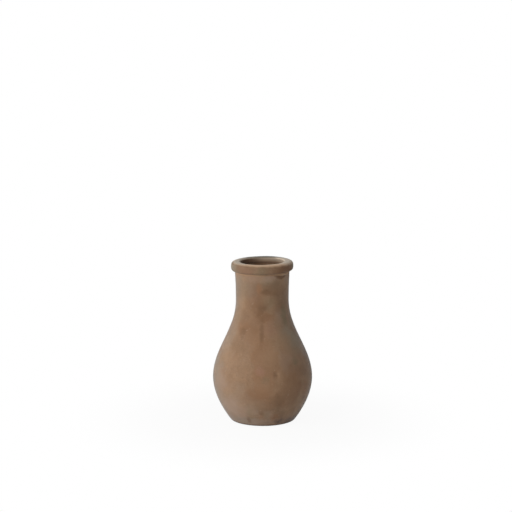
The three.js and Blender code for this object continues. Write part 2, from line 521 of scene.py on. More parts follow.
def hollow_line(shape, inset, top, bottom, spacing):
    """The hollow that follows the wall, from its open end down to the axis."""
    side = wall_line(shape, inset, spacing)
    turn = bottom + shape.floor_round
    wall = [p for p in side if turn + spacing / 2 < p[1] < top - spacing / 2]
    corner = (radius_at(side, bottom), bottom)
    start = (radius_at(side, turn), turn)
    end = (corner[0] - shape.floor_round, bottom)
    return [(radius_at(side, top), top), *reversed(wall), *bend(start, corner, end), (0.0, bottom)]


def mouth_radius(shape):
    return shape.neck_radius - shape.wall


def collar_radius(shape):
    return mouth_radius(shape) + shape.collar_share * shape.wall


def vessel_outline(settings):
    """The vessel's section: under the foot, up the outside, over the step and down the inside."""
    shape, rim, spacing = settings.shape, settings.rim, settings.throwing.spacing
    inner = shape.foot_radius - shape.ring_width
    outer = shape.foot_radius - shape.foot_edge
    recess = soften([
        (0.0, shape.recess_depth), (inner - shape.recess_lean, shape.recess_depth), (inner, 0.0),
        (outer, 0.0)], RECESS_ROUNDING)
    edge = bend(
        (outer, 0.0), (shape.foot_radius, 0.0), (outer_radius(shape, shape.foot_edge), shape.foot_edge))
    outside = [p for p in wall_line(shape, 0.0, spacing) if p[1] > shape.foot_edge * 1.5]
    mouth, collar = mouth_radius(shape), collar_radius(shape)
    step_height, collar_height = STEP - FOOT, COLLAR_TOP - FOOT
    step = soften([
        outside[-2], outside[-1], (collar, step_height), (collar, collar_height), (mouth, collar_height),
        (mouth, step_height)], rim.groove_ease)[1:]
    hollow = hollow_line(shape, shape.wall, step_height, COAT_FLOOR - FOOT, spacing)[1:]
    outline = [
        *freed(fill(recess, spacing * 2), 0.0),
        *freed(edge[1:], 0.4),
        *freed(outside[:-2], 1.0),
        *freed(step, 0.0),
        *freed(fill(hollow, spacing * 2), 0.0)]
    return [(radius, height + FOOT, freedom) for radius, height, freedom in ease(outline)]


def coil_under(settings):
    """The coil's underside in heights from its seat, from the seat out to its widest place."""
    shape, rim = settings.shape, settings.rim
    bulge = COIL_RADIUS - shape.neck_radius
    widest = (shape.neck_radius, rim.bulge_height)
    return quarter_round(widest, bulge, -rim.bulge_height, rim.under_squareness)[::-1]


def coil_outline(settings):
    """The rolled rim's closed section, with its counterbore round the collar."""
    shape, rim = settings.shape, settings.rim
    mouth = mouth_radius(shape)
    crest = mouth + rim.crest_width
    height = CREST + rim.crown - SEAT
    under = coil_under(settings)
    over = quarter_round(
        (crest, rim.bulge_height), COIL_RADIUS - crest, height - rim.bulge_height, rim.top_squareness)
    lip = quarter_round((crest, height - rim.lip_drop), -rim.crest_width, rim.lip_drop, rim.top_squareness)
    collar_height = SLIP_TOP - SEAT
    bore = collar_radius(shape) + 2 * rim.slip_clearance + rim.slip_thickness
    inside = soften([
        lip[0], (mouth, collar_height), (bore, collar_height), (bore, 0.0), under[0]], rim.groove_ease)
    outline = [
        *freed(under[:3], 0.0),
        *freed(fill([*under[3:], *over[1:], *lip[::-1][1:]], COIL_SPACING), 0.8),
        *freed(inside[1:], 0.0)]
    return [(radius, z + SEAT, freedom) for radius, z, freedom in ease(outline, 3)]


def slip_outline(settings):
    """The slip's closed section: wiped into the crease outside, and lying in the joint inside."""
    shape, rim = settings.shape, settings.rim
    thick = rim.slip_thickness
    inner = collar_radius(shape) + rim.slip_clearance
    outer = inner + thick
    lip = mouth_radius(shape) + rim.slip_set_back
    top = SLIP_TOP - STEP
    wall, sink = shape.neck_radius, rim.slip_sink
    keyed = [(wall - 2 * sink, 0.0), (wall - 2 * sink, -rim.ridge_drop)]
    skirt = fill([(wall - sink, -rim.ridge_drop), (wall - sink, -rim.fillet_drop)], SKIRT_SPACING)
    under = [(radius, z + thick) for radius, z in coil_under(settings) if radius < wall + rim.fillet_reach]
    crease = bend(skirt[-1], (wall + 0.3 * MM, thick * 0.5), under[-1], 12)
    rest = [
        (outer, thick), (outer, top), (lip, top), (lip, top - thick), (inner, top - thick), (inner, 0.0)]
    outline = [
        *freed(keyed, 0.0),
        *freed([*skirt, *crease[1:-1]], 1.0),
        *freed(under[::-1], 0.0),
        *freed([*rest, keyed[0]], 0.0)]
    return [(radius, height + STEP, freedom) for radius, height, freedom in ease(outline, 2)]


def coat_outline(settings):
    """The coat's section: from the axis out under its floor, up its outer face and down its inner one."""
    shape, coat, spacing = settings.shape, settings.coat, settings.throwing.spacing * 1.6
    top, floor = COAT_EDGE - FOOT, COAT_FLOOR - FOOT
    inset = shape.wall + coat.clearance
    outer = hollow_line(shape, inset, top, floor, spacing)[::-1]
    inner = hollow_line(shape, inset + coat.thickness, top, floor + coat.thickness, spacing)
    middle = (outer[-1][0] + inner[0][0]) / 2
    lip = bend(outer[-1], (middle, top + coat.thickness * 0.4), inner[0], 6)
    outline = [
        *freed(fill(outer, spacing * 2), 0.0),
        *freed(lip[1:-1], 0.2),
        *freed(fill(inner, spacing * 2), 0.2)]
    return [(radius, height + FOOT, freedom) for radius, height, freedom in ease(outline)]


# Turned clay in geometry nodes

def new_tree(name, sockets):
    """A geometry node tree with named inputs and one geometry output."""
    tree = bpy.data.node_groups.new(name, "GeometryNodeTree")
    for socket, kind in sockets.items():
        tree.interface.new_socket(socket, in_out="INPUT", socket_type="NodeSocket" + kind)
    tree.interface.new_socket("Geometry", in_out="OUTPUT", socket_type="NodeSocketGeometry")
    return tree


def turned_tree():
    """Turns an outline round the Z axis, then presses finger rings, swellings and a dab into it."""
    tree = new_tree("Turned clay", {
        "Outline": "Object", "Turn Steps": "Int", "Ring Spacing": "Float", "Ring Depth": "Float",
        "Swelling Size": "Float", "Swelling Height": "Float", "Hand Mark Size": "Float",
        "Hand Mark Height": "Float", "Lean": "Float", "Tilt": "Vector", "Tilt Start": "Float",
        "Tilt End": "Float", "Pattern": "Float", "Dab Place": "Vector", "Dab Turn": "Vector",
        "Dab Size": "Vector", "Dab Height": "Float", "Finish": "Material"})
    w = Wiring(tree)
    given = w.add("NodeGroupInput").outputs

    # A grid with a row for each point of the outline, wrapped round the axis
    drawn = w.add("GeometryNodeObjectInfo", {"Object": given["Outline"]}).outputs["Geometry"]
    size = w.add("GeometryNodeAttributeDomainSize", {"Geometry": drawn}, component="CURVE")
    count = size.outputs["Point Count"]
    grid = w.add("GeometryNodeMeshGrid", {
        "Size X": 1.0, "Size Y": 1.0, "Vertices X": w.plus(given["Turn Steps"], 1), "Vertices Y": count})
    cell = w.split(w.add("GeometryNodeInputPosition").outputs[0])
    row = w.maths("ROUND", w.times(w.plus(cell["Y"], 0.5), w.maths("SUBTRACT", count, 1)))
    angle = w.times(w.plus(cell["X"], 0.5), math.tau)

    def along(kind, node):
        sample = w.add("GeometryNodeSampleIndex", data_type=kind, domain="POINT")
        w.feed(sample.inputs["Geometry"], drawn)
        w.feed(sample.inputs["Value"], w.add(node).outputs[0])
        w.feed(sample.inputs["Index"], row)
        return sample.outputs[0]

    section = w.split(along("FLOAT_VECTOR", "GeometryNodeInputPosition"))
    freedom = along("FLOAT", "GeometryNodeInputRadius")
    kept = w.add("GeometryNodeStoreNamedAttribute", {
        "Geometry": grid.outputs["Mesh"], "Name": "freedom", "Value": freedom},
        data_type="FLOAT", domain="POINT")
    mapped = w.add("GeometryNodeStoreNamedAttribute", {
        "Geometry": kept.outputs[0], "Name": "UVMap", "Value": grid.outputs["UV Map"]},
        data_type="FLOAT2", domain="CORNER")
    turned = w.join(
        w.times(section["X"], w.maths("COSINE", angle)), w.times(section["X"], w.maths("SINE", angle)),
        section["Z"])
    shaped = w.add("GeometryNodeSetPosition", {"Geometry": mapped.outputs[0], "Position": turned})
    closed = w.add("GeometryNodeMergeByDistance", {"Geometry": shaped.outputs[0], "Distance": 1e-7})

    # How far each place is pushed outwards: finger rings, soft swellings, hand marks and the dab
    spot = w.add("GeometryNodeInputPosition").outputs[0]
    parts = w.split(spot)
    around = w.maths("ARCTAN2", parts["Y"], parts["X"])
    rings = w.maths("DIVIDE", parts["Z"], given["Ring Spacing"])
    rings = w.maths("SINE", w.maths("MULTIPLY_ADD", rings, math.tau, around))
    moved = w.vector("ADD", spot, w.join(given["Pattern"], given["Pattern"], given["Pattern"]))

    def swelling(extent, height):
        noise = w.add("ShaderNodeTexNoise", {
            "Vector": moved, "Scale": w.maths("DIVIDE", 1.0, extent), "Detail": 1.0, "Roughness": 0.4})
        return w.times(w.maths("SUBTRACT", noise.outputs["Fac"], 0.5), height)

    fading = w.plus(0.4, swelling(given["Swelling Size"], 2.0))
    amount = w.times(w.times(rings, given["Ring Depth"]), fading)
    amount = w.plus(amount, swelling(given["Swelling Size"], given["Swelling Height"]))
    amount = w.plus(amount, swelling(given["Hand Mark Size"], given["Hand Mark Height"]))
    straight = w.add("ShaderNodeVectorRotate", {
        "Vector": spot, "Center": given["Dab Place"], "Rotation": given["Dab Turn"]},
        rotation_type="EULER_XYZ", invert=True).outputs[0]
    reach = w.vector("DIVIDE", w.vector("SUBTRACT", straight, given["Dab Place"]), given["Dab Size"])
    dab = w.smooth(w.vector("LENGTH", reach), 1.0, 0.15)
    amount = w.plus(amount, w.times(dab, given["Dab Height"]))
    held = w.add("GeometryNodeInputNamedAttribute", {"Name": "freedom"}, data_type="FLOAT")
    amount = w.times(amount, held.outputs[0])
    push = w.vector("SCALE", w.add("GeometryNodeInputNormal").outputs[0], scale=amount)

    # The lean of the whole, and the rim's tilt
    tilted = w.split(w.vector("MULTIPLY", spot, given["Tilt"]))
    leaned = w.times(w.times(parts["Z"], given["Lean"]), -1)
    tilting = w.smooth(parts["Z"], given["Tilt Start"], given["Tilt End"])
    drift = w.join(x=leaned, z=w.times(w.plus(tilted["X"], tilted["Y"]), tilting))
    pressed = w.add("GeometryNodeSetPosition", {
        "Geometry": closed.outputs[0], "Offset": w.vector("ADD", push, drift)})
    smooth = w.add("GeometryNodeSetShadeSmooth", {"Geometry": pressed.outputs[0]})
    real = w.add("GeometryNodeRealizeInstances", {"Geometry": smooth.outputs[0]})
    painted = w.add("GeometryNodeSetMaterial", {"Geometry": real.outputs[0], "Material": given["Finish"]})
    w.add("NodeGroupOutput", {"Geometry": painted.outputs[0]})
    return tree


def grown(name, tree, values):
    """Runs a geometry node tree with named input values, and keeps the result as a plain mesh object."""
    piece = added(name, bpy.data.meshes.new(name))
    modifier = piece.modifiers.new(tree.name, "NODES")
    modifier.node_group = tree
    for item in tree.interface.items_tree:
        if item.in_out == "INPUT" and item.name in values:
            modifier[item.identifier] = values[item.name]
    graph = bpy.context.evaluated_depsgraph_get()
    mesh = bpy.data.meshes.new_from_object(
        piece.evaluated_get(graph), preserve_all_data_layers=True, depsgraph=graph)
    piece.modifiers.remove(modifier)
    piece.data = mesh
    mesh.name = name
    return piece


def turned_piece(name, outline, finish, settings, **changes):
    """A closed body turned from an outline, as a plain mesh object."""
    curve = bpy.data.curves.new(name + "_outline", "CURVE")
    curve.dimensions = "3D"
    spline = curve.splines.new("POLY")
    spline.points.add(len(outline) - 1)
    for point, (radius, height, freedom) in zip(spline.points, outline):
        point.co = (radius, 0.0, height, 1.0)
        point.radius = freedom
    drawing = added(curve.name, curve)
    marks = settings.throwing
    values = {
        "outline": drawing, "finish": finish, "turn_steps": marks.turns, "pattern": 0.0,
        "tilt": (*settings.rim.tilt, 0.0), "tilt_start": STEP - settings.shape.neck_radius, "tilt_end": STEP,
        "dab_place": (0.0, 0.0, 0.0), "dab_turn": (0.0, 0.0, 0.0), "dab_size": (MM, MM, MM),
        "dab_height": 0.0}
    for key in (
            "ring_spacing", "ring_depth", "swelling_size", "swelling_height", "hand_mark_size",
            "hand_mark_height", "lean"):
        values[key] = getattr(marks, key)
    values.update(changes)
    tree = bpy.data.node_groups.get("Turned clay") or turned_tree()
    piece = grown(name, tree, {key.replace("_", " ").title(): value for key, value in values.items()})
    bpy.data.objects.remove(drawing)
    bpy.data.curves.remove(curve)
    return piece


def round_axis(azimuth, radius, height):
    """The point at degrees right of the front, at a distance from the axis and a height above the table."""
    angle = math.radians(azimuth - 90)
    return Vector((radius * math.cos(angle), radius * math.sin(angle), height))


def on_wall(shape, azimuth, height):
    """The point on the vessel's outer face at degrees right of the front and a height above the foot."""
    return round_axis(azimuth, outer_radius(shape, height), height + FOOT)


# Finishes

# Marks on the vessel, from the lowest layer up, most of them left by the kiln and a few of painted light and
# shade:
# tone, degrees right of the front, height above the foot, half the width and half the height in millimetres,
# strength, and softness where it isn't the usual one
KILN_AND_LIGHT_MARKS = (
    # Pale ash at the far left, partly painted reflection of the light along the left edge
    ("ash", -108, 45, 44, 62, 0.65, 1),
    ("ash", -100, 122, 20, 34, 0.65, 1),
    ("red", -6, 100, 15, 50, 0.3),
    ("red", -14, 88, 16, 20, 0.35),
    ("red", -6, 30, 18, 16, 0.4),
    ("umber", -2, 29, 16, 13, 0.2),
    ("umber", -22, 122, 14, 22, 0.32),
    ("umber", 0, 116, 10, 16, 0.25),
    ("rose", -20, 129, 10.5, 14, 0.45),
    ("umber", -16, 130, 14, 14, 0.42),
    ("ash", -42, 131, 19, 14, 0.18),
    ("olive", -46, 129, 19, 15, 0.17),
    ("umber", -14, 122, 5.5, 21, 0.24),
    ("ash", 14, 135, 12, 7.5, 0.2),
    ("olive", 10, 134, 20, 8, 0.18),
    ("haze", 60, 137.5, 5, 6, 0.35),
    ("ash", -62, 118, 7, 24, 0.15),
    ("red", -12, 111, 6, 8, 0.4),
    # Painted light just below the rim, where the rim shades the neck
    ("haze", 18, 140, 9.5, 4, 0.5),
    ("haze", 40, 104, 7, 9.5, 0.38),
    ("tan", -50, 115, 5, 20, 0.22),
    ("umber", 21, 130, 14, 9, 0.46, 0.8),
    ("umber", 44, 120, 10.5, 12.5, 0.42, 0.8),
    ("haze", -2, 140, 17.5, 4.8, 0.2, 0.6),
    ("red", -8, 130, 3.5, 8, 0.7),
    ("umber", 5, 127.2, 6, 3.6, 0.8),
    ("olive", 11, 117, 7.5, 9, 0.25, 0.8),
    ("umber", -5, 111, 9, 11, 0.45),
    ("umber", -2, 111.5, 5.2, 4.6, 0.7),
    ("red", 3, 103, 11.5, 5.8, 0.75, 0.8),
    ("umber", 2, 103, 9, 6, 0.45, 1),
    ("umber", -9, 109.5, 8, 8, 0.35),
    ("umber", -34, 95, 16, 10, 0.25),
    ("red", -37, 93, 10, 11, 0.45),
    ("umber", -37, 89, 4.6, 6.2, 0.55),
    ("umber", -40, 103.5, 6.5, 8, 0.36),
    ("umber", -18, 103.5, 11, 8.5, 0.24),
    ("umber", -22, 92, 11, 11, 0.2),
    ("umber", -2, 90, 3, 17, 0.68),
    ("rose", 14, 92, 10, 12, 0.3),
    ("slate", 52, 83, 15, 19, 0.6, 0.8),
    ("tan", 41, 78, 10, 14, 0.5),
    ("red", 39, 76, 11, 16, 0.3),
    ("red", 33, 45, 17.5, 27, 0.5, 0.8),
    ("tan", 29, 46, 15, 23, 0.15, 0.8),
    ("ash", 72, 70, 8, 12, 0.3),
    ("olive", 50, 103, 5.5, 12.5, 0.65, 0.7),
    ("rose", 60, 101, 3, 5, 0.3),
    ("tan", -47, 70, 16, 15, 0.3),
    ("ash", -66, 83, 12, 20, 0.22),
    ("ash", -30, 31, 20, 15, 0.18),
    ("haze", -62, 33, 9, 14, 0.3),
    ("umber", -9, 37, 8.5, 14, 0.24),
    ("umber", 10, 20, 24, 6.5, 0.28),
    ("ash", 2, 15.5, 17, 4.5, 0.16),
    ("haze", -18, 16.5, 12, 9, 0.38),
    # Pale haze on the left, partly painted reflection of the light along the left edge
    ("haze", -58, 44, 14, 16, 0.55),
    ("umber", -40, 79, 15, 13, 0.16),
    ("haze", 33, 64, 14, 14, 0.32),
    ("tan", 8, 70, 10, 11, 0.32),
    ("tan", 15, 68, 8.5, 14, 0.58),
    ("tan", 25, 83, 9, 12, 0.28),
    ("haze", 74, 69, 6, 10, 0.4),
    ("red", 46, 47, 7, 8, 0.3),
    ("umber", 72, 48, 11, 20, 0.22),
    ("red", 4, 60, 12.5, 28, 0.4, 0.35),
    ("rose", -3, 56, 6.2, 6, 0.7, 1),
    # Painted shade on the left side of the dent
    ("umber", 14.5, 52.8, 3, 5, 0.36),
    ("tan", 20, 50.5, 6, 11, 0.38),
    ("olive", 3, 48.5, 5.5, 5, 0.3),
    ("umber", 36, 42, 12.5, 26, 0.28, 0.6),
    ("olive", 46, 62, 6, 5, 0.6, 1),
    ("umber", 56, 53, 8.5, 9, 0.45, 0.8),
    ("red", 60, 35.5, 7, 11, 0.55),
    ("red", -1, 33.5, 13, 8, 0.45),
    ("umber", 19, 26.5, 11.5, 11, 0.42),
    ("slate", -10, 22, 11, 8, 0.15),
    # Pale haze low on the left, partly painted reflection of the light along the left edge
    ("haze", -44, 18, 18, 17, 0.75, 0.8),
    ("ash", -24, 5, 23, 6, 0.6),
    ("umber", 6, 17.5, 12, 5, 0.22),
    ("umber", -2, 14.5, 3.6, 3.6, 0.55, 1),
    ("olive", -18, 16, 3.5, 10, 0.35),
    ("olive", 6, 12, 4, 6.5, 0.35),
    ("umber", 21, 12.5, 8, 7, 0.4, 0.8),
    ("haze", 2, 5, 28, 4.5, 0.55),
    ("haze", 8, 11, 5.5, 6.5, 0.35),
    ("red", 18, 9.5, 6.5, 6, 0.6),
    ("soot", 25, 4.5, 5, 3.6, 0.85),
    ("soot", 29, 6, 4.2, 3.2, 0.45),
    ("umber", -22, 6.5, 2.8, 5.5, 0.55),
    ("soot", 50, 4, 13, 5, 0.55, 0.8),
    ("soot", 60, 26, 3, 3, 0.45),
    ("umber", 112, 108, 11, 15, 0.5),
    ("red", 124, 76, 22, 26, 0.45),
    ("rose", 118, 30, 13, 13, 0.5),
    ("olive", 134, 16, 16, 11, 0.55),
    ("umber", 142, 119, 8, 7, 0.65, 0.8),
    ("umber", 145, 98, 3, 19, 0.6),
    ("slate", 152, 54, 20, 23, 0.5),
    ("tan", 168, 127, 15, 15, 0.5),
    ("umber", 180, 74, 15, 15, 0.5, 0.8),
    ("haze", 188, 38, 16, 15, 0.6),
    ("soot", 172, 6, 12, 5, 0.6),
    ("red", 202, 101, 16, 23, 0.55),
    ("umber", 206, 106, 5, 6, 0.6),
    ("tan", 218, 66, 18, 18, 0.45),
    ("umber", 220, 24, 12, 12, 0.45),
)

# The same on the rolled rim, with heights above the coil's seat
RIM_MARKS = (
    # The slate at the left end is partly painted reflection; the red, umber and slate at the right end are
    # partly painted shade
    ("slate", -82, 2.5, 19, 8, 0.9, 0.8),
    ("rose", -35, 3.5, 12, 6, 0.3),
    ("umber", -45, 3, 14, 7, 0.18),
    ("olive", -2, 4.5, 7, 6, 0.45, 0.7),
    ("red", 45, 4.5, 15, 8, 0.8, 0.8),
    ("umber", 52, 4, 16, 8, 0.45),
    ("slate", 86, 3.5, 11, 8, 0.85, 0.8),
    ("umber", 140, 4, 12, 7, 0.5),
    ("tan", 180, 3.5, 13, 6, 0.5),
    ("red", 220, 4.5, 12, 7, 0.6),
)


class Finish(Wiring):
    """Node wiring for a painted surface, on Object coordinates."""

    def __init__(self, name, settings, base):
        self.material = emptied(bpy.data.materials.new(name))
        super().__init__(self.material.node_tree)
        self.tones = settings.clay
        coordinates = self.add("ShaderNodeTexCoord").outputs
        self.place = coordinates["Object"]
        self.facing = self.split(coordinates["Normal"])["Z"]
        self.wander = [
            self.vector("SUBTRACT", self.noise(self.place, size, output="Color"), (0.5, 0.5, 0.5))
            for size in (0.011, 0.0035)]
        self.swayed = {}
        self.strayed = self.vector("ADD", self.place, self.vector("SCALE", self.wander[0], scale=0.010))
        self.grain = self.noise(self.place, 0.0008, 3.0, 0.7, 2.2)
        self.paint = colour(base)

    def over(self, mask, tone, strength=1.0, brightness=1.0):
        """Lays a tone over the paint where the mask says."""
        share = self.times(mask, strength)
        self.paint = self.mix(share, self.paint, colour(getattr(self.tones, tone), brightness))

    def shade(self, light):
        """Makes the paint lighter or darker."""
        self.paint = self.add("ShaderNodeHueSaturation", {"Color": self.paint, "Value": light}).outputs[0]

    def frayed(self, sway, fine):
        """The place moved to and fro by about sway metres. Marks with nearly the same sway share it."""
        ratio = 1.4
        step = round(math.log(sway / MM, ratio))
        if (step, fine) not in self.swayed:
            shift = self.vector("SCALE", self.wander[1 if fine else 0], scale=MM * ratio ** step)
            self.swayed[step, fine] = self.vector("ADD", self.place, shift)
        return self.swayed[step, fine]

    def mottle(self):
        """Soft patches of five tones, faint streaks down the wall, and grain."""
        for tone, size, low, high, offset, strength in (
                ("tan", 0.024, 0.48, 0.68, 0.0, 0.40), ("umber", 0.026, 0.52, 0.72, 1.7, 0.30),
                ("olive", 0.020, 0.54, 0.72, 3.1, 0.30), ("red", 0.015, 0.55, 0.72, 5.3, 0.30),
                ("haze", 0.012, 0.58, 0.76, 6.1, 0.25)):
            patches = self.noise(self.strayed, size, 3.0, 0.5, offset)
            self.over(self.smooth(patches, low, high), tone, strength)
        upright = self.add("ShaderNodeMapping", {"Vector": self.place, "Scale": (1, 1, 0.2)}).outputs[0]
        self.shade(self.smooth(self.noise(upright, 0.006, 3.0, 0.5, 6.3), 0.25, 0.75, 0.96, 1.04))
        self.shade(self.smooth(self.noise(self.strayed, 0.0030, 3.0, 0.6, 11.5), 0.3, 0.7, 0.96, 1.04))
        self.shade(self.smooth(self.grain, 0.25, 0.75, 0.91, 1.09))

    def mark(self, centre, tone, azimuth, half_width, half_height, strength, softness=0.9, roll=0.0):
        """Lays a ragged oval of a tone round a point that lies at degrees right of the front."""
        size = min(half_width, half_height)
        half_depth = min(half_width + half_height, 30 * MM)
        streak = half_height > 3 * half_width
        margin = 1.1
        local = self.add("ShaderNodeMapping", {
            "Vector": self.frayed(size * (0.7 if streak else 1.4), size <= 6 * MM), "Location": centre,
            "Rotation": (0, roll, math.radians(azimuth)),
            "Scale": [margin * half for half in (half_width, half_depth, half_height)]},
            vector_type="TEXTURE")
        inward = self.add("ShaderNodeTexGradient", {"Vector": local.outputs[0]}, gradient_type="SPHERICAL")
        self.over(self.smooth(inward.outputs["Fac"], 0.0, softness / margin), tone, strength)

    def specks(self, tone, cell, rarity, strength):
        """Ragged specks, at most one in each cell, of different sizes."""
        frayed = self.noise(self.place, 0.4 * cell, output="Color")
        ragged = self.vector("ADD", self.strayed, self.vector("SCALE", frayed, scale=0.7 * cell))
        spread = self.add("ShaderNodeTexVoronoi", {"Vector": ragged, "Scale": 1 / cell})
        chance = self.add("ShaderNodeSeparateColor", {0: spread.outputs["Color"]}).outputs[0]
        reach = self.smooth(chance, rarity, 1.0, 0.02, 0.26)
        speck = self.smooth(self.maths("SUBTRACT", spread.outputs["Distance"], reach), 0.06, -0.04)
        self.over(self.times(speck, self.smooth(chance, rarity, rarity + 0.05)), tone, strength)

    def grog(self):
        """Pale grains of ground, fired clay, and dark grains of iron."""
        self.specks("dust_and_highlight", 0.0014, 0.72, 0.14)
        self.specks("soot", 0.0019, 0.70, 0.18)

    def clay(self, sheen=0.40):
        """Adds the relief and the shader of fired clay, and returns the material."""
        pores = self.add("ShaderNodeTexVoronoi", {"Vector": self.strayed, "Scale": 1 / 0.0034})
        pit = self.smooth(pores.outputs["Distance"], 0.13, 0.04)
        wheel = self.add("ShaderNodeMapping", {"Vector": self.place, "Scale": (0.09, 0.09, 1)}).outputs[0]
        lines = self.noise(wheel, 0.0009, 3.0, 0.6, 7.1)
        relief = self.maths("MULTIPLY_ADD", self.grain, 0.6, self.times(lines, 0.5))
        relief = self.maths("SUBTRACT", relief, self.times(pit, 0.8))
        middle, spread = self.tones.roughness, 0.08
        rough = self.smooth(
            self.noise(self.strayed, 0.012, 3.0, 0.6, 9.4), 0.3, 0.7, middle - spread, middle + spread)
        self.surface(relief, 0.7, 0.00022, {
            "Base Color": self.paint, "Roughness": rough, "Specular IOR Level": 0.35,
            "Sheen Weight": sheen, "Sheen Roughness": 0.35, "Sheen Tint": (0.60, 0.84, 1.0, 1.0)})
        return self.material


def vessel_material(settings):
    """The thrown wall: mottled, with kiln marks and a few painted light and shade marks, painted shade
    inside the mouth, and darker towards the foot.
    """
    shape, rim = settings.shape, settings.rim
    finish = Finish("Terracotta", settings, settings.clay.base)
    finish.mottle()
    for tone, azimuth, height, half_width, half_height, *rest in KILN_AND_LIGHT_MARKS:
        centre = on_wall(shape, azimuth, height * MM)
        finish.mark(centre, tone, azimuth, half_width * MM, half_height * MM, *rest)

    # Painted shadow in the gap below the ridge of slip, a little to its left
    gap_shadow_place = rim.ridge_place - 11
    gap_shadow = on_wall(shape, gap_shadow_place, STEP - FOOT - rim.ridge_drop - 0.3 * MM)
    finish.mark(gap_shadow, "umber", gap_shadow_place, 7.5 * MM, 3 * MM, 1.0, 0.6, rim.ridge_roll)

    # Painted shade inside the mouth, then the wall darker towards the foot and darkest along its bottom edge
    flat = finish.vector("MULTIPLY", finish.place, (1, 1, 0))
    mouth = mouth_radius(shape)
    radius = finish.vector("LENGTH", flat)
    finish.over(finish.smooth(radius, mouth + 3.5 * MM, mouth + 1 * MM), "umber", 0.9)
    height = finish.split(finish.place)["Z"]
    unevenness = finish.noise(finish.place, 0.014, 3.0, 0.6, 5.5)
    ragged = finish.maths("MULTIPLY_ADD", unevenness, 16 * MM, height)
    finish.over(finish.smooth(ragged, FOOT + 28 * MM, FOOT + 8 * MM), "soot", 0.20)
    finish.over(finish.smooth(height, FOOT + 2.6 * MM, FOOT), "soot", 0.6, 0.5)
    finish.grog()
    return finish.clay()


def rim_material(settings):
    """The rolled rim: browner than the neck on its face, pale on top with a painted highlight in front, and
    painted shade inside at the left.
    """
    finish = Finish("Rim terracotta", settings, settings.clay.base)
    finish.mottle()
    for tone, azimuth, height, half_width, half_height, *rest in RIM_MARKS:
        centre = round_axis(azimuth, COIL_RADIUS, SEAT + height * MM)
        finish.mark(centre, tone, azimuth, half_width * MM, half_height * MM, *rest)
    finish.shade(0.82)
    x, y, z = finish.split(finish.place)
    flat = finish.vector("MULTIPLY", finish.place, (1, 1, 0))
    unevenness = finish.noise(finish.place, 0.004, 3.0, 0.6, 5.5)
    radius = finish.maths("MULTIPLY_ADD", unevenness, 1.2 * MM, finish.vector("LENGTH", flat))
    inward = finish.smooth(radius, COIL_RADIUS + 0.4 * MM, COIL_RADIUS - 2.4 * MM)
    upward = finish.smooth(finish.maths("MULTIPLY_ADD", unevenness, 0.3, finish.facing), 0.10, 0.80)

    # Pale ash on the inner wall at the back and the right, partly painted light where the lamp from the left
    # falls on it
    away = finish.maths("MULTIPLY_ADD", y, 0.8, x)
    inner_wall = finish.times(finish.smooth(away, -4 * MM, 18 * MM), finish.smooth(z, SLIP_TOP, CREST))
    finish.over(finish.times(inward, inner_wall), "ash", 0.7, 1.7)

    # On top, where it faces up: a painted highlight in bright tan in front, dust behind, a little grey at
    # the left and painted shade at the far edge
    top = finish.times(inward, upward)
    strayed = finish.split(finish.strayed)
    finish.over(top, "tan", 1.0, 1.85)
    for tone, brightness, axis, low, high, least, most in (
            ("dust_and_highlight", 1.1, "Y", -23, -10, 0.2, 0.97), ("slate", 1.0, "X", -13, -27, 0.0, 0.2),
            ("slate", 0.46, "Y", 12.5, 22.5, 0.0, 1.0)):
        share = finish.smooth(strayed[axis], low * MM, high * MM, least, most)
        finish.over(finish.times(top, share), tone, 1.0, brightness)

    # Painted shade: on the lip at the far left, in the groove inside the mouth and on the inner wall's left
    # side
    mouth = mouth_radius(settings.shape)
    lip = finish.smooth(radius, mouth + 4 * MM, mouth + 2.6 * MM)
    corner = finish.times(finish.smooth(x, -12.5 * MM, -16.5 * MM), finish.smooth(y, 3 * MM, 9 * MM))
    finish.over(finish.times(lip, corner), "soot", 0.3)
    groove = finish.smooth(z, SLIP_TOP + 1.6 * MM, SLIP_TOP)
    finish.over(finish.times(inward, groove), "soot", 0.55)
    below = finish.smooth(z, CREST - 0.4 * MM, CREST - 2.2 * MM)
    shaded = finish.times(finish.smooth(x, 2 * MM, -14 * MM), below)
    finish.over(finish.times(inward, shaded), "soot", 0.4)
    finish.grog()
    return finish.clay(0.1)


def slip_material(settings):
    """Dried slip: painted lighter than the neck where the rim shades it, most of all at the left, with
    painted shade at the right and a painted highlight on the ridge.
    """
    finish = Finish("Slip", settings, settings.clay.base)
    finish.mottle()
    azimuth = settings.rim.ridge_place
    ridge = on_wall(settings.shape, azimuth, STEP - FOOT - settings.rim.fillet_drop / 2)
    across = finish.split(finish.place)["X"]
    # Painted shade in the crease, towards the right
    finish.over(finish.smooth(across, -8 * MM, 6 * MM), "umber", 0.2)
    # Painted light where the rim shades the slip, most of all at the left
    finish.shade(finish.smooth(across, 0.0, -14 * MM, 1.25, 1.45))
    # Painted highlight on the ridge of slip
    finish.mark(ridge, "dust_and_highlight", azimuth - 8, 7 * MM, 1.2 * MM, 0.32, 0.8)
    finish.grog()
    return finish.clay(0.0)


def coat_material(settings):
    """A brushed waterproof coat: satin, with brush lines round the wall and thin places."""
    w = Finish("Waterproof coat", settings, settings.coat.colour)
    brushed = w.add("ShaderNodeMapping", {"Vector": w.place, "Scale": (0.15, 0.15, 1)}).outputs[0]
    lines = w.noise(brushed, 0.0016, 3.0, 0.6, 1.3)
    thin = w.smooth(w.noise(w.place, 0.012, 3.0, 0.55, 3.7), 0.4, 0.7)
    w.over(thin, "umber", 0.5)
    w.shade(w.smooth(lines, 0.2, 0.8, 0.88, 1.12))
    rough = w.smooth(thin, 0.0, 1.0, 0.38, 0.6)
    w.surface(lines, 0.5, 0.00015, {"Base Color": w.paint, "Roughness": rough, "Specular IOR Level": 0.45})
    return w.material


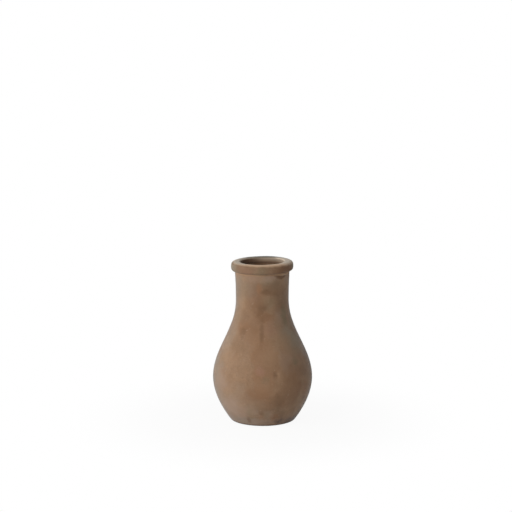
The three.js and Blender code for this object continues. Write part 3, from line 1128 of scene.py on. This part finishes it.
def felt_material(settings):
    """Pressed wool felt: matted short fibres with a soft nap."""
    material = emptied(bpy.data.materials.new("Felt"))
    w = Wiring(material.node_tree)
    place = w.add("ShaderNodeTexCoord").outputs["Object"]
    stray = w.vector("SCALE", w.noise(place, 0.0007, 2.0, output="Color"), scale=0.002)
    matted = w.noise(w.vector("ADD", place, stray), 0.00025, 4.0, 0.7)
    tufts = w.noise(place, 0.0011, 3.0, 0.6, 2.9)
    wool = settings.felt.colour
    paint = w.mix(w.smooth(matted, 0.3, 0.7), colour(wool, 0.6), colour(wool, 1.5))
    paint = w.vector("SCALE", paint, scale=w.smooth(tufts, 0.25, 0.75, 0.85, 1.15))
    w.surface(matted, 0.8, 0.00012, {
        "Base Color": paint, "Roughness": 0.95, "Specular IOR Level": 0.1, "Sheen Weight": 0.5,
        "Sheen Roughness": 0.6})
    return material


# Felt dots in geometry nodes

def felt_tree():
    """A felt dot: a pressed disc with a matted edge, and loose fibres that stand out of its side."""
    tree = new_tree("Felt dot", {
        "Centre": "Vector", "Radius": "Float", "Thickness": "Float", "Edge": "Float", "Fibres": "Int",
        "Fibre Length": "Float", "Fibre Radius": "Float", "Pattern": "Int", "Finish": "Material"})
    w = Wiring(tree)
    given = w.add("NodeGroupInput").outputs

    # The disc, with tucked edges and a matted side
    disc = w.add("GeometryNodeMeshCylinder", {
        "Vertices": 96, "Side Segments": 8, "Fill Segments": 10, "Radius": given["Radius"],
        "Depth": given["Thickness"]}, fill_type="TRIANGLE_FAN")
    spot = w.add("GeometryNodeInputPosition").outputs[0]
    parts = w.split(spot)
    flat = w.join(parts["X"], parts["Y"])
    rimward = w.smooth(
        w.vector("LENGTH", flat), w.maths("SUBTRACT", given["Radius"], given["Edge"]), given["Radius"])
    half = w.times(given["Thickness"], 0.5)
    level = w.maths("DIVIDE", w.maths("ABSOLUTE", parts["Z"]), half)
    tuck = w.times(w.maths("POWER", level, 6.0), w.times(given["Edge"], -1))
    matting = w.times(w.maths("SUBTRACT", w.noise(spot, 0.0006, 3.0, 0.6), 0.5), 0.0003)
    sideways = w.times(w.plus(tuck, matting), rimward)
    pushed = w.vector("SCALE", w.vector("NORMALIZE", flat), scale=sideways)
    matted = w.add("GeometryNodeSetPosition", {"Geometry": disc.outputs["Mesh"], "Offset": pushed})

    # Fibres that stand out of the side
    fibre_line = w.add("GeometryNodeCurveQuadraticBezier", {
        "Resolution": 4, "Start": (0, 0, 0), "Middle": (0.25, 0, 0.6), "End": (0.05, 0.2, 1.0)})
    section = w.add("GeometryNodeCurvePrimitiveCircle", {
        "Resolution": 3, "Radius": w.maths("DIVIDE", given["Fibre Radius"], given["Fibre Length"])},
        mode="RADIUS")
    fibre = w.add("GeometryNodeCurveToMesh", {
        "Curve": fibre_line.outputs[0], "Profile Curve": section.outputs[0], "Fill Caps": True})
    upward = w.split(w.add("GeometryNodeInputNormal").outputs[0])["Z"]
    on_side = w.maths("COMPARE", upward, 0.0, 0.3)
    points = w.add("GeometryNodeDistributePointsOnFaces", {
        "Mesh": matted.outputs[0], "Selection": on_side, "Seed": given["Pattern"]})
    area = w.times(w.times(given["Radius"], given["Thickness"]), math.tau)
    w.feed(points.inputs["Density"], w.maths("DIVIDE", given["Fibres"], area))
    turn = w.add("FunctionNodeRandomValue", {"Seed": given["Pattern"]}, data_type="FLOAT_VECTOR")
    w.feed(turn.inputs[0], (-0.7, -0.7, -3.1))
    w.feed(turn.inputs[1], (0.7, 0.7, 3.1))
    turned = w.add("FunctionNodeRotateEuler", {
        0: points.outputs["Rotation"], "Rotate By": turn.outputs[0]}, rotation_type="EULER", space="LOCAL")
    planted = w.add("GeometryNodeInstanceOnPoints", {
        "Points": points.outputs["Points"], "Instance": fibre.outputs[0], "Rotation": turned.outputs[0],
        "Scale": w.join(given["Fibre Length"], given["Fibre Length"], given["Fibre Length"])})

    # Both together, pressed flat above and below
    both = w.add("GeometryNodeJoinGeometry")
    w.feed(both.inputs[0], planted.outputs[0])
    w.feed(both.inputs[0], matted.outputs[0])
    real = w.add("GeometryNodeRealizeInstances", {"Geometry": both.outputs[0]})
    level = w.add("ShaderNodeClamp", {"Value": parts["Z"], "Min": w.times(half, -1), "Max": half}).outputs[0]
    pressed = w.add("GeometryNodeSetPosition", {
        "Geometry": real.outputs[0], "Position": w.join(parts["X"], parts["Y"], level)})
    smooth = w.add("GeometryNodeSetShadeSmooth", {"Geometry": pressed.outputs[0]})
    placed = w.add("GeometryNodeTransform", {"Geometry": smooth.outputs[0], "Translation": given["Centre"]})
    painted = w.add("GeometryNodeSetMaterial", {"Geometry": placed.outputs[0], "Material": given["Finish"]})
    w.add("NodeGroupOutput", {"Geometry": painted.outputs[0]})
    return tree


def settle(piece, node):
    """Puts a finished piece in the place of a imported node."""
    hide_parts(node)
    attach(piece, BODY)


# Operators

class VASE_OT_clay_vessel(bpy.types.Operator):
    """Turns the thrown vessel and paints it"""

    bl_idname = "vase.clay_vessel"
    bl_label = "Clay vessel"

    def execute(self, context):
        settings = context.scene.vase
        marks = settings.throwing
        middle = on_wall(settings.shape, marks.dimple_place, marks.dimple_rise)
        piece = turned_piece(
            "thrown_vessel", vessel_outline(settings), vessel_material(settings), settings,
            dab_place=middle, dab_turn=(0.0, 0.0, math.radians(marks.dimple_place)),
            dab_size=(0.0032, 0.0032, 0.0042), dab_height=-marks.dimple_depth)
        settle(piece, "clay_vessel")
        return {"FINISHED"}


class VASE_OT_rim_coil(bpy.types.Operator):
    """Turns the rolled rim and paints it"""

    bl_idname = "vase.rim_coil"
    bl_label = "Rolled rim"

    def execute(self, context):
        settings = context.scene.vase
        piece = turned_piece(
            "rolled_rim", coil_outline(settings), rim_material(settings), settings,
            turn_steps=320, ring_depth=0.0, hand_mark_height=0.0002, pattern=2.0)
        settle(piece, "rim_coil")
        return {"FINISHED"}


class VASE_OT_luting_slip(bpy.types.Operator):
    """Turns the slip that was wiped into the crease under the rim"""

    bl_idname = "vase.luting_slip"
    bl_label = "Luting slip"

    def execute(self, context):
        settings = context.scene.vase
        rim = settings.rim
        middle = on_wall(settings.shape, rim.ridge_place, STEP - FOOT - rim.ridge_drop / 2)
        piece = turned_piece(
            "wiped_slip", slip_outline(settings), slip_material(settings), settings,
            turn_steps=320, ring_depth=0.0, swelling_size=0.009, swelling_height=0.0004, pattern=4.0,
            dab_place=middle, dab_turn=(0.0, rim.ridge_roll, math.radians(rim.ridge_place)),
            dab_size=(0.0130, 0.006, 0.0022), dab_height=rim.ridge_height)
        settle(piece, "luting_slip")
        return {"FINISHED"}


class VASE_OT_waterproof_coat(bpy.types.Operator):
    """Turns the coat inside the vessel"""

    bl_idname = "vase.waterproof_coat"
    bl_label = "Waterproof coat"

    def execute(self, context):
        settings = context.scene.vase
        piece = turned_piece(
            "inner_coat", coat_outline(settings), coat_material(settings), settings,
            turn_steps=160, pattern=6.0)
        settle(piece, "waterproof_coat")
        return {"FINISHED"}


class VASE_OT_felt_dots(bpy.types.Operator):
    """Makes the three felt dots under the foot"""

    bl_idname = "vase.felt_dots"
    bl_label = "Felt dots"

    def execute(self, context):
        settings = context.scene.vase
        felt = settings.felt
        finish = felt_material(settings)
        tree = felt_tree()
        nodes = sorted(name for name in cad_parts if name.startswith("felt_dot"))
        for number, node in enumerate(nodes):
            low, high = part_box(node)
            piece = grown(node.replace("felt_dot", "felt_pad"), tree, {
                "Centre": (low + high) / 2, "Radius": (high.x - low.x) / 2, "Thickness": high.z - low.z,
                "Edge": felt.edge, "Fibres": felt.fibres, "Fibre Length": felt.fibre_length,
                "Fibre Radius": felt.fibre_radius, "Pattern": number, "Finish": finish})
            settle(piece, node)
        return {"FINISHED"}


class VASE_OT_stage(bpy.types.Operator):
    """Sets the camera, the light and the white floor"""

    bl_idname = "vase.stage"
    bl_label = "Stage"

    def execute(self, context):
        stage = context.scene.vase.stage
        make_camera(context.scene, stage)
        softbox("Key", azimuth=-47, elevation=18, distance=1.6, size=(1.6, 0.9), power=stage.key)
        softbox("Edge", azimuth=-125, elevation=20, distance=1.6, size=(0.9, 0.9), power=stage.edge)
        make_surroundings(context.scene, stage)
        make_floor(stage)
        context.scene.view_settings.view_transform = "Standard"
        return {"FINISHED"}


def make_camera(scene, stage):
    """The photograph's view: a long lens, a little above the rim."""
    data = bpy.data.cameras.new("Camera")
    data.sensor_width = 36.0
    data.lens = data.sensor_width / 2 / math.tan(stage.field_of_view / 2)
    data.clip_end = 50.0
    camera = added("Camera", data)
    camera.location = (-stage.side, -stage.distance, FOOT + stage.height)
    camera.rotation_euler = (math.pi / 2 - stage.tilt, 0.0, 0.0)
    scene.camera = camera


def softbox(name, azimuth, elevation, distance, size, power):
    """A broad lamp at degrees right of the front and above the floor, aimed at the vase's middle."""
    data = bpy.data.lights.new(name, "AREA")
    data.shape = "RECTANGLE"
    data.size, data.size_y = size
    data.energy = power
    lamp = added(name, data)
    up = math.radians(elevation)
    away = round_axis(azimuth, math.cos(up), math.sin(up))
    lamp.location = Vector((0, 0, (FOOT + CREST) / 2)) + away * distance
    lamp.rotation_euler = away.to_track_quat("Z", "Y").to_euler()


def seen_directly(w):
    """1 for the camera, for reflections and for what shows through."""
    path = w.add("ShaderNodeLightPath").outputs
    seen = w.maths("ADD", path["Is Camera Ray"], path["Is Glossy Ray"], clamp=True)
    return w.maths("ADD", seen, path["Is Transmission Ray"], clamp=True)


def make_surroundings(scene, stage):
    """A white surround that lights the vase only weakly."""
    world = emptied(bpy.data.worlds.new("Surround"))
    w = Wiring(world.node_tree)
    strength = w.smooth(seen_directly(w), 0.0, 1.0, stage.fill, 1.0)
    background = w.add("ShaderNodeBackground", {"Color": (1, 1, 1, 1), "Strength": strength})
    w.add("ShaderNodeOutputWorld", {"Surface": background.outputs[0]})
    scene.world = world


def make_floor(stage):
    """A round white floor that keeps a faint shadow near the vase and fades to plain white."""
    mesh = bpy.data.meshes.new("floor")
    count, reach = 96, 3.0
    mesh.from_pydata([round_axis(360 * i / count, reach, 0) for i in range(count)], [], [range(count)])
    floor = added("floor", mesh)
    material = emptied(bpy.data.materials.new("Floor"))
    w = Wiring(material.node_tree)
    place = w.add("ShaderNodeTexCoord").outputs["Object"]
    near, far = 0.05, 0.20
    shadowed = w.smooth(w.vector("LENGTH", place), far, near, 0.0, stage.shadow)
    matt = w.add("ShaderNodeBsdfDiffuse", {"Color": (0.85, 0.85, 0.85, 1)})
    white = w.add("ShaderNodeEmission", {"Color": (1, 1, 1, 1), "Strength": 1.0})
    shown = w.add("ShaderNodeMixShader", {0: shadowed, 1: white.outputs[0], 2: matt.outputs[0]})
    sided = w.add("ShaderNodeMixShader", {0: seen_directly(w), 1: matt.outputs[0], 2: shown.outputs[0]})
    below = w.add("ShaderNodeNewGeometry").outputs["Backfacing"]
    clear = w.add("ShaderNodeBsdfTransparent")
    open_below = w.add("ShaderNodeMixShader", {0: below, 1: sided.outputs[0], 2: clear.outputs[0]})
    w.add("ShaderNodeOutputMaterial", {"Surface": open_below.outputs[0]})
    mesh.materials.append(material)


class VASE_PT_panel(bpy.types.Panel):
    """Lists the vase's pieces"""

    bl_label = "Vase"
    bl_space_type = "VIEW_3D"
    bl_region_type = "UI"
    bl_category = "Vase"

    def draw(self, context):
        for operator in OPERATORS:
            self.layout.operator(operator.bl_idname)


OPERATORS = (
    VASE_OT_clay_vessel, VASE_OT_rim_coil, VASE_OT_luting_slip, VASE_OT_waterproof_coat, VASE_OT_felt_dots,
    VASE_OT_stage)
CLASSES = (
    ShapeSettings, RimSettings, ThrowingSettings, CoatSettings, FeltSettings, ClaySettings, StageSettings,
    VaseSettings, *OPERATORS, VASE_PT_panel)


def register():
    for item in CLASSES:
        bpy.utils.register_class(item)
    bpy.types.Scene.vase = PointerProperty(type=VaseSettings)


def unregister():
    del bpy.types.Scene.vase
    for item in reversed(CLASSES):
        bpy.utils.unregister_class(item)


def main():
    register()
    bpy.ops.vase.clay_vessel()
    bpy.ops.vase.rim_coil()
    bpy.ops.vase.luting_slip()
    bpy.ops.vase.waterproof_coat()
    bpy.ops.vase.felt_dots()
    bpy.ops.vase.stage()


if __name__ == "__main__":
    main()
